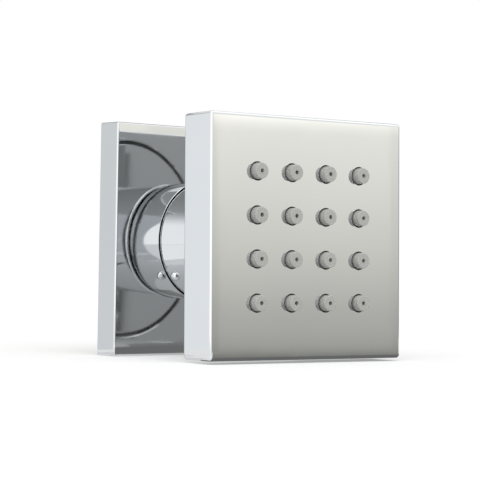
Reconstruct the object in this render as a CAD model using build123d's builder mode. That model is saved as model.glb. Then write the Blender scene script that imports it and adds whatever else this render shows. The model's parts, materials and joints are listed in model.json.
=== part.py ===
from build123d import *
import os
from math import acos, asin, cos, degrees, radians, sin, sqrt

os.makedirs("parts", exist_ok=True)

# Square shower body jet on a ball joint. X is to the right, Y goes into the wall, Z is up.
# The origin is on the jet's axis at the wall face. Lengths are in millimetres, angles in degrees.
# Places of the fixed pieces are distances out of the wall, and places of the pieces that swivel
# are distances in front of the ball's centre, along the head's own axis. At rest the head is turned
# a little to its side and up, and the friction liner follows the turn to the side.

# Escutcheon, the square plate on the wall
escutcheon_side = 50.0
escutcheon_depth = 5.9
escutcheon_rim = 1.2
escutcheon_face = 1.5
escutcheon_edge = 0.4
escutcheon_hole_edge = 0.25
escutcheon_hole_clearance = 0.2

# Inlet connector behind the wall
thread_radius = 10.48
thread_length = 14.0
thread_chamfer = 1.0
thread_pitch = 1.814
thread_depth = 1.12
thread_crest = 0.24
thread_root = 0.3
thread_grooves = 6
thread_overcut = 0.1
flange_radius = 15.2
flange_thickness = 1.4
gasket_thickness = 1.0
gasket_bore_clearance = 0.9
inlet_bore_radius = 6.5
inlet_key_flats = 11.0
regulator_depth = 9.0
regulator_thickness = 3.2
orifice_radius = 1.3
filter_length = 3.0
filter_ring_wall = 1.0
filter_mesh_thickness = 0.6
filter_hole_radius = 0.42
filter_hole_pitch = 1.35
filter_hole_rows = 5
insert_clearance = 0.05

# Ball joint
ball_radius = 8.0
ball_clearance = 0.05
liner_thickness = 2.25
liner_clearance = 0.06
liner_rear_angle = 82.0
liner_margin_angle = 3.0
opening_margin_angle = 2.0
swing_angle = 12.0
stem_radius = 5.0
stem_shoulder = 0.5
stem_clearance = 0.05
waterway_radius = 3.0
seat_lip = 0.56
seat_front_drop = 3.0
seat_inset = 0.86
seat_bore_radius = 4.83
seat_clearance = 0.06
seat_oring_section = 1.5

# Collar over the ball
collar_wall = 1.4
collar_taper = 0.25
collar_length = 10.7
collar_rim_edge = 0.3
collar_groove_depth = 0.5
collar_groove_width = 0.9
collar_flange_gap = 0.4
collar_thread_clearance = 0.05
cup_front_drop = 1.4
cup_step = 1.24
escutcheon_oring_section = 0.95
pin_radius = 1.0
pin_shank = 2.3
pin_dome = 0.95
pin_clearance = 0.05
pin_margin = 0.25
pin_angle = 36.5

# Neck between the collar and the head
neck_step = 0.15
neck_taper = 0.75
neck_gap = 0.35
neck_edge = 0.3
neck_seat_drop = 1.25
stem_oring_section = 1.5

# Spray head
head_side = 50.0
head_depth = 9.5
head_edge = 0.7
head_face = 1.6
head_reach = 21.6
head_pan_angle = -4.6
head_rise_angle = 1.2
cover_thickness = 2.2
cover_edge = 0.3
cover_bore_edge = 0.2
cover_clearance = 0.8
cover_gasket_thickness = 0.8
ledge_width = 1.7
chamber_margin = 0.2
nut_flats = 13.0
nut_thread_clearance = 0.05
stem_end_margin = 0.5
stem_end_gap = 0.6

# Nozzles
nozzle_count = 4
nozzle_border = 11.635
nozzle_base_radius = 1.68
nozzle_tip_radius = 1.62
nozzle_height = 1.63
nozzle_tip_edge = 0.2
nozzle_bore_radius = 0.45
nozzle_hole_clearance = 0.22
nozzle_hole_chamfer = 0.08
mat_thickness = 1.2
mat_clearance = 0.1
spray_plate_thickness = 1.2
spray_bore_radius = 0.7
post_radius = 1.3

# Radii of the ball joint, and the ball's place, which follows from the flange and the seat behind it
liner_inner_radius = ball_radius + ball_clearance
liner_outer_radius = liner_inner_radius + liner_thickness
flange_front = gasket_thickness + flange_thickness
seat_rear = flange_front + seat_oring_section
ball_place = seat_rear + seat_lip + sqrt(liner_inner_radius**2 - seat_bore_radius**2)
stem_thread_radius = stem_radius - stem_shoulder
pocket_radius = liner_outer_radius + liner_clearance
seat_outer_radius = pocket_radius - seat_inset
cup_bore_radius = seat_outer_radius + seat_clearance
cup_outer_radius = pocket_radius + cup_step
collar_bore_radius = cup_outer_radius + collar_thread_clearance
collar_radius = collar_bore_radius + collar_wall
collar_rim_radius = collar_radius - collar_taper
neck_radius = collar_rim_radius - neck_step

# Places along the fixed axis, out of the wall
cup_front = ball_place - cup_front_drop
collar_rear = flange_front + collar_flange_gap
collar_rim = escutcheon_depth + collar_length
pin_place = cup_front - pin_radius - pin_margin
regulator_seat = regulator_depth - thread_length
face_middle = escutcheon_depth - escutcheon_face / 2

# The nose in front of the collar and the cup behind the neck are round about the ball's centre
groove_floor_radius = collar_rim_radius - collar_groove_depth
groove_front = collar_rim + collar_groove_width
nose_radius = sqrt(groove_floor_radius**2 + (groove_front - ball_place) ** 2)
neck_cup_radius = nose_radius + neck_gap

# The head leans by both swing angles at once in a corner of its travel
corner_lean = degrees(acos(cos(radians(swing_angle)) ** 2))
opening_angle = degrees(asin(stem_radius / pocket_radius)) + corner_lean + opening_margin_angle
liner_front_angle = degrees(asin(stem_radius / ball_radius)) + swing_angle + liner_margin_angle

# Places along the head's axis, in front of the ball's centre
neck_rear = sqrt(neck_cup_radius**2 - neck_radius**2)
neck_seat = neck_cup_radius - neck_seat_drop
head_rear = head_reach
head_front = head_rear + head_depth
cover_front = head_rear + cover_thickness
ledge = cover_front + cover_gasket_thickness
chamber_front = head_front - head_face
mat_rear = chamber_front - mat_thickness
spray_plate_rear = mat_rear - spray_plate_thickness
stem_end = spray_plate_rear - stem_end_gap
nut_front = stem_end - stem_end_margin

# Nozzle grid, and the round chamber that takes all of it in
nozzle_pitch = (head_side - 2 * nozzle_border) / (nozzle_count - 1)
nozzle_hole_radius = nozzle_base_radius + nozzle_hole_clearance
corner_nozzle_radius = (head_side / 2 - nozzle_border) * sqrt(2)
chamber_radius = corner_nozzle_radius + nozzle_hole_radius + chamber_margin
cover_bore_radius = chamber_radius + ledge_width
cover_radius = cover_bore_radius - cover_clearance
stem_bore_radius = stem_thread_radius + stem_clearance

# Planes and axes. A section plane holds a radius and a place along its axis.
ball_centre = (0, -ball_place, 0)
pan = radians(head_pan_angle)
rise = radians(head_rise_angle)
head_right = (cos(pan), sin(pan), 0)
liner_out = (sin(pan), -cos(pan), 0)
head_out = (sin(pan) * cos(rise), -cos(pan) * cos(rise), sin(rise))
head_down = (sin(pan) * sin(rise), -cos(pan) * sin(rise), -cos(rise))
wall_plane = Plane(origin=(0, 0, 0), x_dir=(1, 0, 0), z_dir=(0, -1, 0))
wall_section = Plane(origin=(0, 0, 0), x_dir=(1, 0, 0), z_dir=(0, 0, -1))
wall_axis = Axis((0, 0, 0), (0, -1, 0))
head_plane = Plane(origin=ball_centre, x_dir=head_right, z_dir=head_out)
head_section = Plane(origin=ball_centre, x_dir=head_right, z_dir=head_down)
head_axis = Axis(ball_centre, head_out)
liner_section = Plane(origin=ball_centre, x_dir=head_right, z_dir=(0, 0, -1))
liner_axis = Axis(ball_centre, liner_out)
pin_direction = (-cos(radians(pin_angle)), 0, -sin(radians(pin_angle)))
pin_plane = Plane(origin=(0, -pin_place, 0), x_dir=(0, -1, 0), z_dir=pin_direction)
pin_axis = Axis((0, -pin_place, 0), pin_direction)


def on_sphere(radius, angle, centre=0.0):
    """Point of a section at an angle from the axis, on a sphere centred at a place on the axis."""
    return (radius * sin(radians(angle)), centre + radius * cos(radians(angle)))


def sphere_arc(radius, from_angle, to_angle, centre=0.0):
    """Arc of a section along a sphere, between two angles from the axis."""
    middle_angle = (from_angle + to_angle) / 2
    ThreePointArc(
        on_sphere(radius, from_angle, centre),
        on_sphere(radius, middle_angle, centre),
        on_sphere(radius, to_angle, centre),
    )


def ring_section(inner_radius, outer_radius, start, end):
    """Rectangle of a section, between two radii and two places along the axis."""
    middle = ((inner_radius + outer_radius) / 2, (start + end) / 2)
    with Locations(middle):
        Rectangle(outer_radius - inner_radius, end - start)


def oring_section(centre_radius, place, section):
    """Round section of an O-ring."""
    with Locations((centre_radius, place)):
        Circle(section / 2)


# Escutcheon: a square tray with its open side to the wall
escutcheon_hole_radius = collar_radius + escutcheon_hole_clearance
with BuildPart() as escutcheon:
    with BuildSketch(wall_plane):
        Rectangle(escutcheon_side, escutcheon_side)
    extrude(amount=escutcheon_depth)
    front_edges = escutcheon.edges().filter_by_position(
        wall_axis, escutcheon_depth / 4, escutcheon_depth
    )
    fillet(front_edges, radius=escutcheon_edge)
    with BuildSketch(wall_plane):
        Rectangle(escutcheon_side - 2 * escutcheon_rim, escutcheon_side - 2 * escutcheon_rim)
    extrude(amount=escutcheon_depth - escutcheon_face, mode=Mode.SUBTRACT)
    with BuildSketch(wall_plane):
        Circle(escutcheon_hole_radius)
    extrude(amount=escutcheon_depth, mode=Mode.SUBTRACT)
    hole_edge = escutcheon.edges().filter_by(GeomType.CIRCLE).sort_by(SortBy.RADIUS).group_by(wall_axis)[-1]
    fillet(hole_edge.sort_by(SortBy.RADIUS)[-1], radius=escutcheon_hole_edge)
escutcheon.part.label = "escutcheon"
export_step(escutcheon.part, "parts/escutcheon.step")

# Rubber ring that holds the escutcheon on the collar
with BuildPart() as escutcheon_oring:
    with BuildSketch(wall_section):
        oring_section(
            escutcheon_hole_radius - escutcheon_oring_section / 2, face_middle, escutcheon_oring_section
        )
    revolve(axis=wall_axis)
escutcheon_oring.part.label = "escutcheon_oring"
export_step(escutcheon_oring.part, "parts/escutcheon_oring.step")

# Flat ring between the connector's flange and the wall
with BuildPart() as wall_gasket:
    with BuildSketch(wall_section):
        ring_section(thread_radius + gasket_bore_clearance, flange_radius, 0, gasket_thickness)
    revolve(axis=wall_axis)
wall_gasket.part.label = "wall_gasket"
export_step(wall_gasket.part, "parts/wall_gasket.step")

# Inlet connector: threaded shank, flange, and the cup that carries the ball seat and the collar.
# The thread is a row of ring grooves at its pitch, which leaves the shank's wall at the thread's crests.
groove_half_width = (thread_pitch - thread_crest) / 2
groove_flank = (groove_half_width - thread_root / 2) / thread_depth
groove_mouth = groove_half_width + groove_flank * thread_overcut
first_groove = thread_chamfer + groove_half_width + thread_crest - thread_length
groove_places = [(thread_radius, first_groove + step * thread_pitch) for step in range(thread_grooves)]
with BuildPart() as inlet_connector:
    with BuildSketch(wall_section):
        with BuildLine():
            Polyline(
                (inlet_bore_radius, -thread_length),
                (thread_radius - thread_chamfer, -thread_length),
                (thread_radius, thread_chamfer - thread_length),
                (thread_radius, gasket_thickness),
                (flange_radius, gasket_thickness),
                (flange_radius, flange_front),
                (cup_outer_radius, flange_front),
                (cup_outer_radius, cup_front),
                (cup_bore_radius, cup_front),
                (cup_bore_radius, flange_front),
                (0, flange_front),
                (0, regulator_seat),
                (inlet_bore_radius, regulator_seat),
                close=True,
            )
        make_face()
        with Locations(*groove_places):
            Polygon(
                (thread_overcut, -groove_mouth),
                (-thread_depth, -thread_root / 2),
                (-thread_depth, thread_root / 2),
                (thread_overcut, groove_mouth),
                align=None,
                mode=Mode.SUBTRACT,
            )
    revolve(axis=wall_axis)
    with BuildSketch(wall_plane.offset(regulator_seat)):
        RegularPolygon(inlet_key_flats / 2, 6, major_radius=False)
    extrude(amount=flange_front - regulator_seat, mode=Mode.SUBTRACT)
    pin_tip = collar_radius - pin_shank
    with BuildSketch(pin_plane.offset(pin_tip)):
        Circle(pin_radius + pin_clearance)
    extrude(amount=pin_shank, mode=Mode.SUBTRACT)
inlet_connector.part.label = "inlet_connector"
export_step(inlet_connector.part, "parts/inlet_connector.step")

# Strainer in the inlet end
filter_radius = inlet_bore_radius - insert_clearance
filter_mesh_radius = filter_radius - filter_ring_wall
with BuildPart() as inlet_filter:
    with BuildSketch(wall_section):
        ring_section(filter_mesh_radius, filter_radius, -thread_length, filter_length - thread_length)
    revolve(axis=wall_axis)
    with BuildSketch(wall_plane.offset(filter_length - thread_length)):
        Circle(filter_radius)
        with HexLocations(filter_hole_pitch / 2, filter_hole_rows, filter_hole_rows):
            Circle(filter_hole_radius, mode=Mode.SUBTRACT)
    extrude(amount=-filter_mesh_thickness)
inlet_filter.part.label = "inlet_filter"
export_step(inlet_filter.part, "parts/inlet_filter.step")

# Flow regulator against its shoulder, with its ring in a groove
regulator_radius = inlet_bore_radius - insert_clearance
regulator_oring_section = regulator_thickness / 3
regulator_oring_place = regulator_seat - regulator_thickness / 2
with BuildPart() as flow_regulator:
    with BuildSketch(wall_section):
        ring_section(orifice_radius, regulator_radius, regulator_seat - regulator_thickness, regulator_seat)
        with Locations((regulator_radius, regulator_oring_place)):
            Rectangle(
                2 * (regulator_oring_section - insert_clearance),
                regulator_oring_section,
                mode=Mode.SUBTRACT,
            )
    revolve(axis=wall_axis)
flow_regulator.part.label = "flow_regulator"
export_step(flow_regulator.part, "parts/flow_regulator.step")

with BuildPart() as regulator_oring:
    with BuildSketch(wall_section):
        oring_section(
            inlet_bore_radius - regulator_oring_section / 2, regulator_oring_place, regulator_oring_section
        )
    revolve(axis=wall_axis)
regulator_oring.part.label = "regulator_oring"
export_step(regulator_oring.part, "parts/regulator_oring.step")

# Rubber ring behind the ball seat
with BuildPart() as seat_oring:
    with BuildSketch(wall_section):
        oring_section(
            cup_bore_radius - seat_oring_section, flange_front + seat_oring_section / 2, seat_oring_section
        )
    revolve(axis=wall_axis)
seat_oring.part.label = "seat_oring"
export_step(seat_oring.part, "parts/seat_oring.step")

# Ball seat: a ring with a hollow spherical face
seat_front = ball_place - seat_front_drop
seat_outer_angle = 180 - degrees(acos(seat_front_drop / liner_inner_radius))
seat_inner_angle = 180 - degrees(asin(seat_bore_radius / liner_inner_radius))
with BuildPart() as ball_seat:
    with BuildSketch(wall_section):
        with BuildLine():
            Polyline(
                on_sphere(liner_inner_radius, seat_inner_angle, ball_place),
                (seat_bore_radius, seat_rear),
                (seat_outer_radius, seat_rear),
                (seat_outer_radius, seat_front),
                on_sphere(liner_inner_radius, seat_outer_angle, ball_place),
            )
            sphere_arc(liner_inner_radius, seat_outer_angle, seat_inner_angle, ball_place)
        make_face()
    revolve(axis=wall_axis)
ball_seat.part.label = "ball_seat"
export_step(ball_seat.part, "parts/ball_seat.step")

# Friction liner: a zone of a hollow sphere between the ball and the collar
with BuildPart() as friction_liner:
    with BuildSketch(liner_section):
        with BuildLine():
            sphere_arc(liner_inner_radius, liner_front_angle, liner_rear_angle)
            Line(
                on_sphere(liner_inner_radius, liner_rear_angle),
                on_sphere(liner_outer_radius, liner_rear_angle),
            )
            sphere_arc(liner_outer_radius, liner_rear_angle, liner_front_angle)
            Line(
                on_sphere(liner_outer_radius, liner_front_angle),
                on_sphere(liner_inner_radius, liner_front_angle),
            )
        make_face()
    revolve(axis=liner_axis)
friction_liner.part.label = "friction_liner"
export_step(friction_liner.part, "parts/friction_liner.step")

# Collar: a skirt over the cup, slightly tapered outside, and a round nose that the neck turns over
oring_groove_radius = escutcheon_hole_radius - escutcheon_oring_section
oring_groove_rear = face_middle - escutcheon_oring_section / 2
oring_groove_front = face_middle + escutcheon_oring_section / 2
nose_angle = degrees(asin(groove_floor_radius / nose_radius))
with BuildPart() as collar:
    with BuildSketch(wall_section):
        with BuildLine():
            Polyline(
                (pocket_radius, ball_place),
                (pocket_radius, cup_front),
                (collar_bore_radius, cup_front),
                (collar_bore_radius, collar_rear),
                (collar_radius, collar_rear),
                (collar_radius, oring_groove_rear),
                (oring_groove_radius, oring_groove_rear),
                (oring_groove_radius, oring_groove_front),
                (collar_radius, oring_groove_front),
                (collar_radius, escutcheon_depth),
                (collar_rim_radius, collar_rim),
                (groove_floor_radius, collar_rim),
                on_sphere(nose_radius, nose_angle, ball_place),
            )
            sphere_arc(nose_radius, nose_angle, opening_angle, ball_place)
            Line(
                on_sphere(nose_radius, opening_angle, ball_place),
                on_sphere(pocket_radius, opening_angle, ball_place),
            )
            sphere_arc(pocket_radius, opening_angle, 90, ball_place)
        make_face()
    revolve(axis=wall_axis)
    rim_edges = collar.edges().filter_by(GeomType.CIRCLE).filter_by_position(
        wall_axis, collar_rim - collar_rim_edge, collar_rim + collar_rim_edge
    )
    fillet(rim_edges.sort_by(SortBy.RADIUS)[-1], radius=collar_rim_edge)
    with BuildSketch(pin_plane.offset(pocket_radius)):
        Circle(pin_radius + pin_clearance)
    extrude(amount=collar_radius, mode=Mode.SUBTRACT)
collar.part.label = "collar"
export_step(collar.part, "parts/collar.step")

# Domed pin that locks the collar on the cup
with BuildPart() as collar_pin:
    with BuildSketch(pin_plane.offset(pin_tip)):
        Circle(pin_radius)
    extrude(amount=pin_shank + pin_dome)
    fillet(collar_pin.edges().filter_by(GeomType.CIRCLE).sort_by(pin_axis)[-1], radius=pin_dome)
collar_pin.part.label = "collar_pin"
export_step(collar_pin.part, "parts/collar_pin.step")

# Swivel ball with its stem and waterway
ball_rear_angle = 180 - degrees(asin(waterway_radius / ball_radius))
ball_front_angle = degrees(asin(stem_radius / ball_radius))
with BuildPart() as swivel_ball:
    with BuildSketch(head_section):
        with BuildLine():
            sphere_arc(ball_radius, ball_rear_angle, ball_front_angle)
            Polyline(
                on_sphere(ball_radius, ball_front_angle),
                (stem_radius, neck_seat),
                (stem_thread_radius, neck_seat),
                (stem_thread_radius, stem_end),
                (waterway_radius, stem_end),
                on_sphere(ball_radius, ball_rear_angle),
            )
        make_face()
    revolve(axis=head_axis)
swivel_ball.part.label = "swivel_ball"
export_step(swivel_ball.part, "parts/swivel_ball.step")

# Neck sleeve: hollow to the rear, where it turns over the collar's nose
stem_oring_rear = head_rear - stem_oring_section
stem_oring_outer = stem_bore_radius + stem_oring_section
neck_rim_angle = degrees(asin(neck_radius / neck_cup_radius))
neck_seat_angle = degrees(acos(neck_seat / neck_cup_radius))
with BuildPart() as neck_sleeve:
    with BuildSketch(head_section):
        with BuildLine():
            sphere_arc(neck_cup_radius, neck_rim_angle, neck_seat_angle)
            Polyline(
                on_sphere(neck_cup_radius, neck_seat_angle),
                (stem_bore_radius, neck_seat),
                (stem_bore_radius, stem_oring_rear),
                (stem_oring_outer, stem_oring_rear),
                (stem_oring_outer, head_rear),
                (neck_radius - neck_taper, head_rear),
                (neck_radius, neck_rear),
            )
        make_face()
    revolve(axis=head_axis)
    fillet(neck_sleeve.edges().filter_by(GeomType.CIRCLE).sort_by(head_axis)[0], radius=neck_edge)
neck_sleeve.part.label = "neck_sleeve"
export_step(neck_sleeve.part, "parts/neck_sleeve.step")

# Rubber ring around the stem, under the rear cover
with BuildPart() as stem_oring:
    with BuildSketch(head_section):
        oring_section(
            stem_bore_radius + stem_oring_section / 2,
            head_rear - stem_oring_section / 2,
            stem_oring_section,
        )
    revolve(axis=head_axis)
stem_oring.part.label = "stem_oring"
export_step(stem_oring.part, "parts/stem_oring.step")

# Nut inside the head that clamps the cover and the neck on the stem
with BuildPart() as stem_nut:
    with BuildSketch(head_plane.offset(cover_front)):
        RegularPolygon(nut_flats / 2, 6, major_radius=False)
        Circle(stem_thread_radius + nut_thread_clearance, mode=Mode.SUBTRACT)
    extrude(amount=nut_front - cover_front)
stem_nut.part.label = "stem_nut"
export_step(stem_nut.part, "parts/stem_nut.step")

# Round cover, flush in the back of the head
with BuildPart() as rear_cover:
    with BuildSketch(head_plane.offset(head_rear)):
        Circle(cover_radius)
        Circle(stem_bore_radius, mode=Mode.SUBTRACT)
    extrude(amount=cover_thickness)
    rear_edges = rear_cover.edges().filter_by(GeomType.CIRCLE).group_by(head_axis)[0]
    fillet(rear_edges.sort_by(SortBy.RADIUS)[-1], radius=cover_edge)
rear_cover.part.label = "rear_cover"
export_step(rear_cover.part, "parts/rear_cover.step")

# Flat ring between the cover and the ledge inside the head
with BuildPart() as cover_gasket:
    with BuildSketch(head_section):
        ring_section(chamber_radius, cover_radius, cover_front, ledge)
    revolve(axis=head_axis)
cover_gasket.part.label = "cover_gasket"
export_step(cover_gasket.part, "parts/cover_gasket.step")

# Head: a square block, hollowed from the back, with a grid of nozzle holes in its face
with BuildPart() as head_shell:
    with BuildSketch(head_plane.offset(head_rear)):
        Rectangle(head_side, head_side)
    extrude(amount=head_depth)
    fillet(head_shell.edges(), radius=head_edge)
    with BuildSketch(head_plane.offset(head_rear)):
        Circle(cover_bore_radius)
    extrude(amount=ledge - head_rear, mode=Mode.SUBTRACT)
    chamfer(head_shell.edges().filter_by(GeomType.CIRCLE).sort_by(head_axis)[0], length=cover_bore_edge)
    with BuildSketch(head_plane.offset(ledge)):
        Circle(chamber_radius)
    extrude(amount=chamber_front - ledge, mode=Mode.SUBTRACT)
    with BuildSketch(head_plane.offset(chamber_front)):
        with GridLocations(nozzle_pitch, nozzle_pitch, nozzle_count, nozzle_count):
            Circle(nozzle_hole_radius)
    extrude(amount=head_face, mode=Mode.SUBTRACT)
    hole_edges = head_shell.edges().filter_by(GeomType.CIRCLE).group_by(head_axis)[-1]
    chamfer(hole_edges, length=nozzle_hole_chamfer)
head_shell.part.label = "head_shell"
export_step(head_shell.part, "parts/head_shell.step")

# Nozzle mat: one soft moulding whose nozzles stand through the face
with BuildPart() as nozzle_mat:
    with BuildSketch(head_plane.offset(mat_rear)):
        Circle(chamber_radius - mat_clearance)
    extrude(amount=mat_thickness)
    with BuildSketch(head_plane.offset(chamber_front)):
        with GridLocations(nozzle_pitch, nozzle_pitch, nozzle_count, nozzle_count):
            Circle(nozzle_base_radius)
    extrude(amount=head_face)
    with Locations(head_plane.offset(head_front)):
        with GridLocations(nozzle_pitch, nozzle_pitch, nozzle_count, nozzle_count):
            Cone(
                nozzle_base_radius,
                nozzle_tip_radius,
                nozzle_height,
                align=(Align.CENTER, Align.CENTER, Align.MIN),
            )
    tip_edges = nozzle_mat.edges().filter_by(GeomType.CIRCLE).group_by(head_axis)[-1]
    fillet(tip_edges, radius=nozzle_tip_edge)
    with BuildSketch(head_plane.offset(mat_rear)):
        with GridLocations(nozzle_pitch, nozzle_pitch, nozzle_count, nozzle_count):
            Circle(nozzle_bore_radius)
    extrude(amount=mat_thickness + head_face + nozzle_height, mode=Mode.SUBTRACT)
nozzle_mat.part.label = "nozzle_mat"
export_step(nozzle_mat.part, "parts/nozzle_mat.step")

# Spray plate: presses the mat against the face, on four posts from the cover
with BuildPart() as spray_plate:
    with BuildSketch(head_plane.offset(spray_plate_rear)):
        Circle(chamber_radius - mat_clearance)
        with GridLocations(nozzle_pitch, nozzle_pitch, nozzle_count, nozzle_count):
            Circle(spray_bore_radius, mode=Mode.SUBTRACT)
    extrude(amount=spray_plate_thickness)
    with BuildSketch(head_plane.offset(cover_front)):
        with GridLocations(2 * nozzle_pitch, 2 * nozzle_pitch, 2, 2):
            Circle(post_radius)
    extrude(amount=spray_plate_rear - cover_front)
spray_plate.part.label = "spray_plate"
export_step(spray_plate.part, "parts/spray_plate.step")
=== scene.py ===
"""Square swivel shower body jet: finishes, thread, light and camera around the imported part."""
import json
import math

import bmesh
import bpy
from mathutils import Matrix, Vector


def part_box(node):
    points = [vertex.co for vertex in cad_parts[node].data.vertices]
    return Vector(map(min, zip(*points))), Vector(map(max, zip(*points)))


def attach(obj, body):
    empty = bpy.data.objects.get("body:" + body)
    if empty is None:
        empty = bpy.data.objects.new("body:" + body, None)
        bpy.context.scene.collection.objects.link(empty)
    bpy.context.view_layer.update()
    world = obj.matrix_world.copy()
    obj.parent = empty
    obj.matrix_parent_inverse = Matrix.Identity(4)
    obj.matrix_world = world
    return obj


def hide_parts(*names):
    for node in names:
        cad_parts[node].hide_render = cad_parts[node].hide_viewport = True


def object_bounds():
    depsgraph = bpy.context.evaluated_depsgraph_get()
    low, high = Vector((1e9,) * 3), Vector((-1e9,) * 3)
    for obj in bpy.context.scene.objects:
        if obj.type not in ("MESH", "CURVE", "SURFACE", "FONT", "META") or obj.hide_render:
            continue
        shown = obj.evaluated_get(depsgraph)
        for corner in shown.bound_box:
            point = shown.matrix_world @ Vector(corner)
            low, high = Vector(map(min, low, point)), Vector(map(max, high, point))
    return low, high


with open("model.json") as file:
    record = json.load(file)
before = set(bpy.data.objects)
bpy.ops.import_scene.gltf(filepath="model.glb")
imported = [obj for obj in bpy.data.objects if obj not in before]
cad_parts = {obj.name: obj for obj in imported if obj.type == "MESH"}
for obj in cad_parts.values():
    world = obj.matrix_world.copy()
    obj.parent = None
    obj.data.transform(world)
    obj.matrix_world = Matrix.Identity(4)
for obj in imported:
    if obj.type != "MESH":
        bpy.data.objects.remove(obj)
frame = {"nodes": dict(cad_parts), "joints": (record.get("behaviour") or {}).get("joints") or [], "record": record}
cad_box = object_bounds()

MM = 0.001
UP = Vector((0, 0, 1))

# Camera: focal length in pixels of the square picture, place in millimetres
PICTURE_PIXELS = 480
FOCAL_PIXELS = 1913.4
SENSOR_MM = 36.0
CAMERA_PLACE = (-272.57, -329.87, -4.63)
CAMERA_LOOK = (0.6573, 0.7536, 0.0119)
CAMERA_UP = (-0.0206, 0.0023, 0.9998)
CAMERA_NEAREST = 10 * MM

# Studio: the ambient light and the sun together light a level surface at about 1
AMBIENT = 0.7
SUN_STRENGTH = 1.0
SUN_ANGLE = math.radians(60)
SUN_FROM = (-0.35, -0.5, 0.8)
FLOOR_COLOUR = (0.8, 0.8, 0.8, 1)
FLOOR_HALF = 1.5
FLOOR_GLOW = 0.26

# Studio cards, which only reflections show. Their tones are the light that a card sends back, and a
# tint gives the share of red, green and blue.
GREY = (1.0, 1.0, 1.0)
WARM = (1.02, 1.0, 0.925)
COOL = (0.975, 1.0, 1.02)
ON_FLOOR = 0.05 * MM
ON_CARD = 0.1 * MM
OVER_HEAD = 67 * MM

# Warm cards before the face, at the end of a dark lane: how much their upper edge rises to the left, the
# parts from right to left with the share of the tone that each has, and the tones from the foot up
FACE_CARD_DISTANCE = 0.19
FACE_CARD_HEIGHT = 0.09
FACE_CARD_SLOPE = 0.07
FACE_CARD_PARTS = {
    "face_card_right": (-0.08, -0.032, 0.92),
    "face_card": (-0.032, 0.021, 1.0),
    "face_card_left": (0.021, 0.25, 0.88),
}
FACE_CARD_TONES = [
    (0.0, 0.385),
    (0.02, 0.455),
    (0.07, 0.515),
    (0.135, 0.56),
    (0.217, 0.645),
    (0.364, 0.78),
    (0.528, 0.895),
    (0.69, 0.99),
    (0.744, 1.02),
    (0.768, 1.14),
    (0.796, 1.4),
    (0.9, 1.1),
]
LANE_WIDTH = 0.12
LANE_TONES = [(0.0, 0.17), (0.3, 0.22), (1.0, 0.38)]

# Cards around the object: azimuth and distance, lowest and highest elevation as seen from the origin,
# width, and tones from the foot up
FAR_CARDS = {
    "front_card": (-144, 0.3, -6, 29, 0.31, [(0.0, 1.42), (0.68, 1.42), (0.85, 1.15), (1.0, 0.85)]),
    "upper_card": (-105, 0.34, 22, 45, 0.46, [(0.0, 1.1), (0.2, 1.0), (0.33, 0.7), (0.5, 0.45), (1.0, 0.3)]),
    "edge_card": (-5, 0.3, 32, 60, 0.5, [(0.0, 1.4), (1.0, 1.4)]),
    "right_card": (0, 0.3, -6, 18, 0.4, [(0.0, 0.42), (0.3, 0.55), (0.5, 0.62), (0.65, 0.95), (1.0, 1.2)]),
    "bar_card": (-40.4, 0.236, -7, 15, 0.05, [(0.0, 0.33), (1.0, 0.34)]),
}

# Cards that stand close by: middle and direction of the foot, width, height, tones from the foot up,
# and tint
GAP_DIRECTION = (0.638, -0.77)
NEAR_CARDS = {
    "gap_card": ((0.09, 0.03), GAP_DIRECTION, 0.16, 0.15, [(0.0, 0.4), (0.4, 0.46)], GREY),
    "gap_bar": ((0.0776, 0.0441), GAP_DIRECTION, 3.2 * MM, 0.048, [(0.34, 0.06), (0.69, 0.18)], GREY),
    "plate_card": ((-0.042, 0.02), (1, 0), 0.024, 0.1, [(0.0, 0.8), (1.0, 0.8)], COOL),
    "side_card": ((-0.0605, 0.02), (1, 0), 0.011, 0.1, [(0.0, 1.0), (1.0, 1.0)], COOL),
    "low_strip": ((0, -0.012), (1, 0), 0.05, 1.6 * MM, [(0.0, 0.18), (1.0, 0.18)], GREY),
}

# Cards that lie level: height over the floor, both ends, width, and tones from the first end on
LEVEL_CARDS = {
    "front_lane": (ON_FLOOR, (-0.04, -0.042), (-0.2, -0.21), 0.016, [(0.0, 1.38), (1.0, 1.38)]),
    "bar_lane": (ON_FLOOR, (0.095, -0.075), (0.172, -0.147), 0.04, [(0.0, 0.12), (1.0, 0.12)]),
    "gap_lane": (ON_FLOOR, (0.022, -0.018), (0.12, 0.067), 0.06, [(0.0, 0.39), (1.0, 0.39)]),
    "gap_bar_lane": (ON_CARD, (0.0348, 0.0041), (0.0776, 0.0441), 3.2 * MM, [(0.0, 0.06), (1.0, 0.06)]),
    "under_card": (ON_FLOOR, (-0.03, -0.02), (0.022, -0.02), 0.032, [(0.0, 0.85), (0.3, 0.66), (1.0, 0.43)]),
    # Painted shadow: a dark sheet, seen only in reflections, standing for the shaded floor in front of and under
    # the head's bottom edge
    "floor_shade_card": (ON_CARD, (0.0164, -0.08), (0.0164, -0.036), 0.0872, [(0.0, 0.17), (1.0, 0.17)]),
    "foot_card": (ON_CARD, (0.012, -0.036), (0.012, -0.03), 0.022, [(0.0, 0.27), (1.0, 0.3)]),
    "plate_foot": (ON_CARD, (-0.034, -0.01), (-0.034, 0.008), 0.017, [(0.0, 0.8), (1.0, 0.8)]),
    "roof_card": (
        OVER_HEAD,
        (-0.045, 0.031),
        (0.04, 0.031),
        0.078,
        [(0.0, 0.7), (0.18, 0.5), (0.45, 0.42), (1.0, 0.3)],
    ),
}

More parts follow.
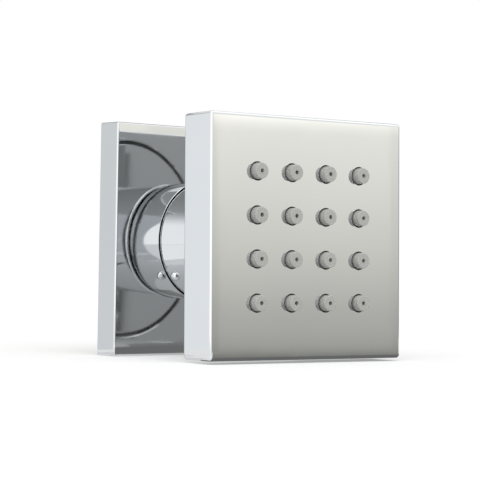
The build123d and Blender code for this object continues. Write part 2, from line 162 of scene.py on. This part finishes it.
# Finishes: the deep and the pale colour, the range of the roughness, and the depth of the relief
CHROMES = ["plate_chrome", "head_chrome", "fitting_chrome"]
CHROME_DEEP = (0.715, 0.732, 0.745)
CHROME_PALE = (0.735, 0.75, 0.76)
CHROME_ROUGHNESS = (0.025, 0.07)
CHROME_WAVES = 0.004 * MM
TURNED_METALS = {
    "brass": ((0.66, 0.47, 0.2), (0.78, 0.58, 0.28), 0.18, 0.34),
    "pin_steel": ((0.72, 0.73, 0.74), (0.78, 0.79, 0.8), 0.06, 0.14),
}
TURNING_MARKS = 0.006 * MM
RUBBER_GRAIN = 0.02 * MM
PLASTIC_GRAIN = 0.008 * MM
MOULDED = {
    "black_rubber": ((0.014, 0.014, 0.015), (0.028, 0.028, 0.03), 0.5, 0.75, RUBBER_GRAIN),
    "bearing_plastic": ((0.8, 0.8, 0.77), (0.87, 0.87, 0.84), 0.3, 0.45, PLASTIC_GRAIN),
    "filter_plastic": ((0.16, 0.3, 0.5), (0.22, 0.38, 0.58), 0.35, 0.5, PLASTIC_GRAIN),
    "regulator_plastic": ((0.84, 0.84, 0.8), (0.9, 0.9, 0.87), 0.3, 0.45, PLASTIC_GRAIN),
}

# The middle of a noise, where most of its values lie
NOISE_LOW = 0.3
NOISE_HIGH = 0.7

# Nozzle silicone: tones from where it goes down into the face to where it stands clear of it; the darker tones at
# the foot are painted shade
SILICONE_SHADED_TONES = [
    (0.0, (0.26, 0.26, 0.25)),
    (0.3, (0.33, 0.33, 0.315)),
    (0.7, (0.43, 0.43, 0.41)),
    (1.0, (0.47, 0.47, 0.45)),
]
SILICONE_SINK = 0.15 * MM
SILICONE_CLEAR = 0.8 * MM
SILICONE_CLOUD = 0.06
SILICONE_ROUGHNESS = (0.3, 0.45)
SILICONE_GRAIN = 0.005 * MM
SILICONE_INDEX = 1.41
SILICONE_SCATTER = 0.3
SILICONE_GLOW = (0.6 * MM, 0.6 * MM, 0.5 * MM)

# Inlet thread: half-inch pipe thread, cut as a helix once the ring grooves of the solid are filled
THREAD_PITCH = 1.814 * MM
THREAD_DEPTH = 1.12 * MM
THREAD_CREST = 0.24 * MM
THREAD_ROOT = 0.3 * MM
THREAD_FLANK = 0.85 * THREAD_DEPTH
THREAD_CLIMB = 1.2 * THREAD_DEPTH
THREAD_MARGIN = 2 * THREAD_DEPTH
THREAD_STEPS = 96
THREAD_RUNOUT_STEPS = THREAD_STEPS / 2
THREAD_WALL_GAP = 1.0 * MM
THREAD_LEAD = 1.0 * MM
SHANK_CHAMFER = 1.0 * MM
SLEEVE_OVERLAP = 0.01 * MM
WELD_DISTANCE = 0.001 * MM
SHARP_EDGE = math.radians(32)

# Lip of the cover's gasket in the seam around the rear cover, a dark ring put in as painted shade for the deep
# seam
SEAM_INNER = 21.93 * MM
SEAM_OUTER = 22.67 * MM
COVER_FROM_BALL = 21.6 * MM
COVER_THICKNESS = 2.2 * MM
LIP_SINK = 0.35 * MM

# Head: the ball joint's centre, the head's own right and outward directions, and the face's place
HEAD_RISE = math.radians(1.2)
FACE_FROM_BALL = 31.1 * MM
tilt_joint = next(joint for joint in frame["joints"] if joint["name"] == "head_tilt")
ball_centre = Vector(tilt_joint["pos_m"])
head_right = Vector(tilt_joint["axis"])
head_out = head_right.cross(UP) * math.cos(HEAD_RISE) + UP * math.sin(HEAD_RISE)
face_centre = ball_centre + head_out * FACE_FROM_BALL
floor_height = cad_box[0][2]


class Nodes:
    """Short names for building a node tree."""

    def __init__(self, tree):
        self.tree = tree
        tree.nodes.clear()

    def add(self, kind, **values):
        """A node with its inputs or settings given by name."""
        node = self.tree.nodes.new(kind)
        for name, value in values.items():
            socket = name.replace("_", " ")
            if socket in node.inputs:
                node.inputs[socket].default_value = value
            else:
                setattr(node, name, value)
        return node

    def link(self, source, target):
        self.tree.links.new(source, target)

    def place(self):
        """The piece's own coordinates, in metres."""
        return self.add("ShaderNodeTexCoord").outputs["Object"]

    def noise(self, scale, detail, stretch=(1, 1, 1)):
        """Soft noise, with features about 1 / scale metres wide."""
        mapping = self.add("ShaderNodeMapping", Scale=stretch)
        noise = self.add("ShaderNodeTexNoise", Scale=scale, Detail=detail)
        self.link(self.place(), mapping.inputs["Vector"])
        self.link(mapping.outputs["Vector"], noise.inputs["Vector"])
        return noise.outputs["Fac"]

    def rings(self, scale):
        """Fine turning marks across the Y axis."""
        wave = self.add("ShaderNodeTexWave", Scale=scale, Distortion=1.5, Detail=2.0, bands_direction="Y")
        self.link(self.place(), wave.inputs["Vector"])
        return wave.outputs["Fac"]

    def between(self, value, low, high):
        """Spreads the middle of a noise over the range from low to high."""
        reach = self.add("ShaderNodeMapRange", To_Min=low, To_Max=high)
        reach.inputs["From Min"].default_value = NOISE_LOW
        reach.inputs["From Max"].default_value = NOISE_HIGH
        self.link(value, reach.inputs["Value"])
        return reach.outputs["Result"]

    def tones(self, value, stops):
        """Colour ramp through (position, colour) stops."""
        ramp = self.add("ShaderNodeValToRGB")
        elements = ramp.color_ramp.elements
        while len(elements) < len(stops):
            elements.new(0.5)
        for element, (position, colour) in zip(elements, stops):
            element.position = position
            element.color = (*colour, 1)
        self.link(value, ramp.inputs["Fac"])
        return ramp.outputs["Color"]

    def bump(self, height, depth):
        """Surface relief of a depth in metres."""
        bump = self.add("ShaderNodeBump", Strength=1.0, Distance=depth)
        self.link(height, bump.inputs["Height"])
        return bump.outputs["Normal"]


def start_material(name):
    """New material, with its node tree emptied down to an output."""
    material = bpy.data.materials.new(name)
    material.use_nodes = True
    nodes = Nodes(material.node_tree)
    return material, nodes, nodes.add("ShaderNodeOutputMaterial")


def finish(name, deep, pale, mottle, roughness, relief, **constants):
    """Material whose colour, roughness and relief each vary with a procedural texture."""
    material, nodes, output = start_material(name)
    shader = nodes.add("ShaderNodeBsdfPrincipled", **constants)
    colour = nodes.tones(mottle(nodes), [(NOISE_LOW, deep), (NOISE_HIGH, pale)])
    texture, low, high = roughness
    height, depth = relief
    nodes.link(colour, shader.inputs["Base Color"])
    nodes.link(nodes.between(texture(nodes), low, high), shader.inputs["Roughness"])
    nodes.link(nodes.bump(height(nodes), depth), shader.inputs["Normal"])
    nodes.link(shader.outputs["BSDF"], output.inputs["Surface"])
    return material


def chrome(name):
    """Polished chrome plate, with the faint waves and wiping marks of a buffed casting."""
    return finish(
        name,
        CHROME_DEEP,
        CHROME_PALE,
        mottle=lambda nodes: nodes.noise(40, 3),
        roughness=(lambda nodes: nodes.noise(160, 4, stretch=(1, 1, 0.35)), *CHROME_ROUGHNESS),
        relief=(lambda nodes: nodes.noise(75, 1), CHROME_WAVES),
        Metallic=1.0,
    )


def turned_metal(name, deep, pale, low, high):
    """Bare metal with fine turning marks."""
    return finish(
        name,
        deep,
        pale,
        mottle=lambda nodes: nodes.noise(220, 4),
        roughness=(lambda nodes: nodes.noise(900, 2), low, high),
        relief=(lambda nodes: nodes.rings(1300), TURNING_MARKS),
        Metallic=1.0,
    )


def moulded(name, deep, pale, low, high, grain):
    """Moulded rubber or plastic with a fine matt grain."""
    return finish(
        name,
        deep,
        pale,
        mottle=lambda nodes: nodes.noise(300, 4),
        roughness=(lambda nodes: nodes.noise(700, 3), low, high),
        relief=(lambda nodes: nodes.noise(2600, 3), grain),
    )


def silicone(name):
    """Translucent nozzle silicone, with painted shade that darkens it where it goes down into the face."""
    material, nodes, output = start_material(name)
    shader = nodes.add(
        "ShaderNodeBsdfPrincipled",
        IOR=SILICONE_INDEX,
        Subsurface_Weight=SILICONE_SCATTER,
        Subsurface_Radius=SILICONE_GLOW,
        Subsurface_Scale=1.0,
    )
    along = nodes.add("ShaderNodeVectorMath", operation="DOT_PRODUCT")
    along.inputs[1].default_value = head_out
    nodes.link(nodes.place(), along.inputs[0])
    # Painted shade: the colour darkens from where the nozzle stands clear of the face down to where it goes into
    # it
    face = face_centre.dot(head_out)
    share = nodes.add("ShaderNodeMapRange", From_Min=face - SILICONE_SINK, From_Max=face + SILICONE_CLEAR)
    nodes.link(along.outputs["Value"], share.inputs["Value"])
    cloudy = nodes.add("ShaderNodeMath", operation="ADD")
    nodes.link(share.outputs["Result"], cloudy.inputs[0])
    nodes.link(nodes.between(nodes.noise(900, 3), -SILICONE_CLOUD, SILICONE_CLOUD), cloudy.inputs[1])
    nodes.link(nodes.tones(cloudy.outputs[0], SILICONE_SHADED_TONES), shader.inputs["Base Color"])
    nodes.link(nodes.between(nodes.noise(700, 3), *SILICONE_ROUGHNESS), shader.inputs["Roughness"])
    nodes.link(nodes.bump(nodes.noise(2600, 3), SILICONE_GRAIN), shader.inputs["Normal"])
    nodes.link(shader.outputs["BSDF"], output.inputs["Surface"])
    return material


def make_finishes():
    """One material for each material slot of the record."""
    finishes = {name: chrome(name) for name in CHROMES}
    finishes.update({name: turned_metal(name, *values) for name, values in TURNED_METALS.items()})
    finishes.update({name: moulded(name, *values) for name, values in MOULDED.items()})
    finishes["nozzle_silicone"] = silicone("nozzle_silicone")
    return finishes


def dress_nodes(finishes):
    """Gives each solid the finish of its slot in the record."""
    for subpart in frame["record"]["subparts"]:
        mesh = frame["nodes"][subpart["node"]].data
        mesh.materials.clear()
        mesh.materials.append(finishes[subpart["material_slot"]])


def add_mesh(name, points, faces):
    mesh = bpy.data.meshes.new(name)
    mesh.from_pydata(points, [], faces)
    thing = bpy.data.objects.new(name, mesh)
    bpy.context.scene.collection.objects.link(thing)
    return thing


# Threaded connector


def thread_cutter(radius, end):
    """Helical groove that starts past the shank's end and climbs out of it before the wall."""
    turns = (end + THREAD_LEAD - THREAD_WALL_GAP) / THREAD_PITCH
    count = int(turns * THREAD_STEPS)
    half_top = (THREAD_PITCH - THREAD_CREST) / 2
    half_root = THREAD_ROOT / 2
    outside = radius + THREAD_MARGIN
    section = [
        (outside, -half_top),
        (radius, -half_top),
        (radius - THREAD_FLANK, -half_root),
        (radius - THREAD_DEPTH, 0),
        (radius - THREAD_FLANK, half_root),
        (radius, half_top),
        (outside, half_top),
    ]
    points = []
    for step in range(count + 1):
        angle = 2 * math.pi * step / THREAD_STEPS
        middle = end + THREAD_LEAD - THREAD_PITCH * step / THREAD_STEPS
        climb = max(0, 1 - (count - step) / THREAD_RUNOUT_STEPS) * THREAD_CLIMB
        for distance, offset in section:
            reach = distance + climb
            points.append((reach * math.cos(angle), middle + offset, reach * math.sin(angle)))
    size = len(section)
    faces = [tuple(range(size)), tuple(reversed(range(count * size, (count + 1) * size)))]
    for step in range(count):
        for place in range(size):
            ahead = (place + 1) % size
            start = step * size
            faces.append((start + place, start + size + place, start + size + ahead, start + ahead))
    return add_mesh("thread_cutter", points, faces)


def turned_ring(name, corners):
    """Ring turned about the Y axis from (radius, place) corners."""
    count = 2 * THREAD_STEPS
    size = len(corners)
    points = []
    faces = []
    for step in range(count):
        angle = 2 * math.pi * step / count
        points += [(reach * math.cos(angle), place, reach * math.sin(angle)) for reach, place in corners]
        here = size * step
        there = size * ((step + 1) % count)
        for side in range(size):
            ahead = (side + 1) % size
            faces.append((here + side, here + ahead, there + ahead, there + side))
    return add_mesh(name, points, faces)


def plain_sleeve(radius, end):
    """Tube that fills the ring grooves of the solid's shank, from its chamfer to the wall."""
    inner = radius - THREAD_MARGIN
    start = end - SHANK_CHAMFER
    return turned_ring("plain_sleeve", [(inner, start), (radius, start), (radius, 0), (inner, 0)])


def combine(thing, tool, operation):
    """Applies a boolean to a mesh and removes the tool."""
    modifier = thing.modifiers.new(operation.lower(), "BOOLEAN")
    modifier.operation = operation
    modifier.solver = "EXACT"
    modifier.object = tool
    shaped = thing.evaluated_get(bpy.context.evaluated_depsgraph_get())
    thing.data = bpy.data.meshes.new_from_object(shaped)
    thing.modifiers.clear()
    bpy.data.objects.remove(tool)


def add_threaded_connector():
    """The connector with a real thread in place of the solid's ring grooves."""
    mount = next(mount for mount in frame["record"]["mounts"] if mount["name"] == "inlet_thread")
    radius = mount["dims"]["r_mm"] * MM
    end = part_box("inlet_connector")[1].y
    mesh = frame["nodes"]["inlet_connector"].data.copy()
    joined = bmesh.new()
    joined.from_mesh(mesh)
    bmesh.ops.remove_doubles(joined, verts=joined.verts, dist=WELD_DISTANCE)
    joined.to_mesh(mesh)
    joined.free()
    stored_normals = mesh.attributes.get("custom_normal")
    if stored_normals:
        mesh.attributes.remove(stored_normals)
    connector = bpy.data.objects.new("threaded_connector", mesh)
    bpy.context.scene.collection.objects.link(connector)
    combine(connector, plain_sleeve(radius + SLEEVE_OVERLAP, end), "UNION")
    combine(connector, thread_cutter(radius, end), "DIFFERENCE")
    connector.data.shade_smooth()
    connector.data.set_sharp_from_angle(angle=SHARP_EDGE)
    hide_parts("inlet_connector")
    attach(connector, "wall_side")


def add_seam_shade_lip(finishes):
    """Dark lip of the cover's gasket, which shows at the bottom of the seam in the head's back: painted shade
    standing for the shade of the deep seam.
    """
    top = COVER_FROM_BALL + LIP_SINK
    foot = COVER_FROM_BALL + COVER_THICKNESS
    lip = turned_ring(
        "cover_gasket_shade_lip",
        [(SEAM_INNER, foot), (SEAM_OUTER, foot), (SEAM_OUTER, top), (SEAM_INNER, top)],
    )
    turn = Matrix((head_right, head_out, head_right.cross(head_out))).transposed().to_4x4()
    lip.data.transform(Matrix.Translation(ball_centre) @ turn)
    lip.data.materials.append(finishes["black_rubber"])
    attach(lip, "head")


# Stage


def add_camera():
    """Camera at the photograph's viewing angle."""
    look = Vector(CAMERA_LOOK).normalized()
    right = look.cross(Vector(CAMERA_UP)).normalized()
    turn = Matrix((right, right.cross(look), -look)).transposed().to_4x4()
    data = bpy.data.cameras.new("camera")
    data.sensor_width = SENSOR_MM
    data.lens = FOCAL_PIXELS / PICTURE_PIXELS * SENSOR_MM
    data.clip_start = CAMERA_NEAREST
    camera = bpy.data.objects.new("camera", data)
    camera.matrix_world = Matrix.Translation(Vector(CAMERA_PLACE) * MM) @ turn
    bpy.context.scene.collection.objects.link(camera)
    bpy.context.scene.camera = camera


def seen_by_camera_or_mirror(nodes):
    """1 for rays from the camera and for those that a mirror or glass sends on, 0 for diffuse light."""
    paths = nodes.add("ShaderNodeLightPath")
    first = nodes.add("ShaderNodeMath", operation="MAXIMUM")
    both = nodes.add("ShaderNodeMath", operation="MAXIMUM")
    nodes.link(paths.outputs["Is Camera Ray"], first.inputs[0])
    nodes.link(paths.outputs["Is Glossy Ray"], first.inputs[1])
    nodes.link(first.outputs[0], both.inputs[0])
    nodes.link(paths.outputs["Is Transmission Ray"], both.inputs[1])
    return both.outputs[0]


def add_world():
    """White surroundings for the camera and for reflections, and softer light for the rest."""
    world = bpy.data.worlds.new("studio")
    bpy.context.scene.world = world
    world.use_nodes = True
    nodes = Nodes(world.node_tree)
    output = nodes.add("ShaderNodeOutputWorld")
    ambient = nodes.add("ShaderNodeBackground", Color=(1, 1, 1, 1), Strength=AMBIENT)
    white = nodes.add("ShaderNodeBackground", Color=(1, 1, 1, 1), Strength=1.0)
    mix = nodes.add("ShaderNodeMixShader")
    nodes.link(seen_by_camera_or_mirror(nodes), mix.inputs["Fac"])
    nodes.link(ambient.outputs[0], mix.inputs[1])
    nodes.link(white.outputs[0], mix.inputs[2])
    nodes.link(mix.outputs[0], output.inputs["Surface"])


def add_sun():
    """Wide soft sun from the upper left."""
    data = bpy.data.lights.new("sun", "SUN")
    data.energy = SUN_STRENGTH
    data.angle = SUN_ANGLE
    sun = bpy.data.objects.new("sun", data)
    sun.rotation_euler = Vector(SUN_FROM).to_track_quat("Z", "Y").to_euler()
    bpy.context.scene.collection.objects.link(sun)


def add_floor():
    """Pale floor that keeps the shadow, with a little glow for the camera so that it reads as white."""
    signs = [(-1, -1), (1, -1), (1, 1), (-1, 1)]
    corners = [(FLOOR_HALF * x, FLOOR_HALF * y, floor_height) for x, y in signs]
    floor = add_mesh("floor", corners, [(0, 1, 2, 3)])
    material, nodes, output = start_material("floor")
    diffuse = nodes.add("ShaderNodeBsdfDiffuse", Color=FLOOR_COLOUR)
    glow = nodes.add("ShaderNodeEmission", Color=(1, 1, 1, 1))
    strength = nodes.add("ShaderNodeMath", operation="MULTIPLY")
    both = nodes.add("ShaderNodeAddShader")
    strength.inputs[1].default_value = FLOOR_GLOW
    nodes.link(seen_by_camera_or_mirror(nodes), strength.inputs[0])
    nodes.link(strength.outputs[0], glow.inputs["Strength"])
    nodes.link(diffuse.outputs[0], both.inputs[0])
    nodes.link(glow.outputs[0], both.inputs[1])
    nodes.link(both.outputs[0], output.inputs["Surface"])
    floor.data.materials.append(material)


def add_card(name, foot, along, rise, width, height, tones, tint=GREY, slope=0.0):
    """Studio card that only reflections show.

    foot is the middle of its lower edge, along the edge's direction, rise the way up the card, height
    that of its middle, slope how much the upper edge climbs along the card, and tones the steps from the
    lower edge to the upper one.
    """
    along = along.normalized()
    rise = rise.normalized()
    half = width / 2
    climb = slope * half
    corners = [(-half, 0, 0), (half, 0, 0), (half, height + climb, 0), (-half, height - climb, 0)]
    card = add_mesh(name, corners, [(0, 1, 2, 3)])
    turn = Matrix((along, rise, along.cross(rise))).transposed().to_4x4()
    card.matrix_world = Matrix.Translation(foot) @ turn
    material, nodes, output = start_material(name)
    emission = nodes.add("ShaderNodeEmission")
    split = nodes.add("ShaderNodeSeparateXYZ")
    top = nodes.add("ShaderNodeMath", operation="MULTIPLY_ADD")
    top.inputs[1].default_value = slope
    top.inputs[2].default_value = height
    share = nodes.add("ShaderNodeMath", operation="DIVIDE")
    stops = [(position, [part * tone for part in tint]) for position, tone in tones]
    nodes.link(nodes.place(), split.inputs[0])
    nodes.link(split.outputs["X"], top.inputs[0])
    nodes.link(split.outputs["Y"], share.inputs[0])
    nodes.link(top.outputs[0], share.inputs[1])
    nodes.link(nodes.tones(share.outputs[0], stops), emission.inputs["Color"])
    nodes.link(emission.outputs[0], output.inputs["Surface"])
    card.data.materials.append(material)
    card.visible_camera = False
    card.visible_diffuse = False
    card.visible_shadow = False


def add_face_cards():
    """Graded cards where the camera sees them in the face, and the lane that leads to them."""
    look = Vector(CAMERA_LOOK).normalized()
    toward = look - 2 * look.dot(head_out) * head_out
    toward.z = 0
    toward.normalize()
    across = toward.cross(UP)
    lane = Vector((face_centre.x, face_centre.y, floor_height + ON_FLOOR))
    add_card("lane_card", lane, across, toward, LANE_WIDTH, FACE_CARD_DISTANCE, LANE_TONES, WARM)
    for name, (right, left, share) in FACE_CARD_PARTS.items():
        foot = lane + toward * FACE_CARD_DISTANCE + across * (left + right) / 2
        tones = [(position, share * tone) for position, tone in FACE_CARD_TONES]
        height = FACE_CARD_HEIGHT + FACE_CARD_SLOPE * (left + right) / 2
        add_card(name, foot, across, UP, left - right, height, tones, WARM, FACE_CARD_SLOPE)


def add_cards():
    """Cards that give the rest of the chrome its tones."""
    for name, (azimuth, distance, low, high, width, tones) in FAR_CARDS.items():
        out = Vector((math.cos(math.radians(azimuth)), math.sin(math.radians(azimuth)), 0))
        foot = out * distance + UP * max(floor_height, distance * math.tan(math.radians(low)))
        height = distance * math.tan(math.radians(high)) - foot.z
        add_card(name, foot, out.cross(UP), UP, width, height, tones)
    for name, (middle, along, width, height, tones, tint) in NEAR_CARDS.items():
        foot = Vector((*middle, floor_height))
        add_card(name, foot, Vector((*along, 0)), UP, width, height, tones, tint)
    for name, (lift, start, end, width, tones) in LEVEL_CARDS.items():
        foot = Vector((*start, floor_height + lift))
        rise = Vector((*end, floor_height + lift)) - foot
        add_card(name, foot, rise.cross(UP), rise, width, rise.length, tones)


finishes = make_finishes()
dress_nodes(finishes)
add_threaded_connector()
add_seam_shade_lip(finishes)
add_camera()
add_world()
add_sun()
add_floor()
add_face_cards()
add_cards()
bpy.context.scene.view_settings.view_transform = "Standard"
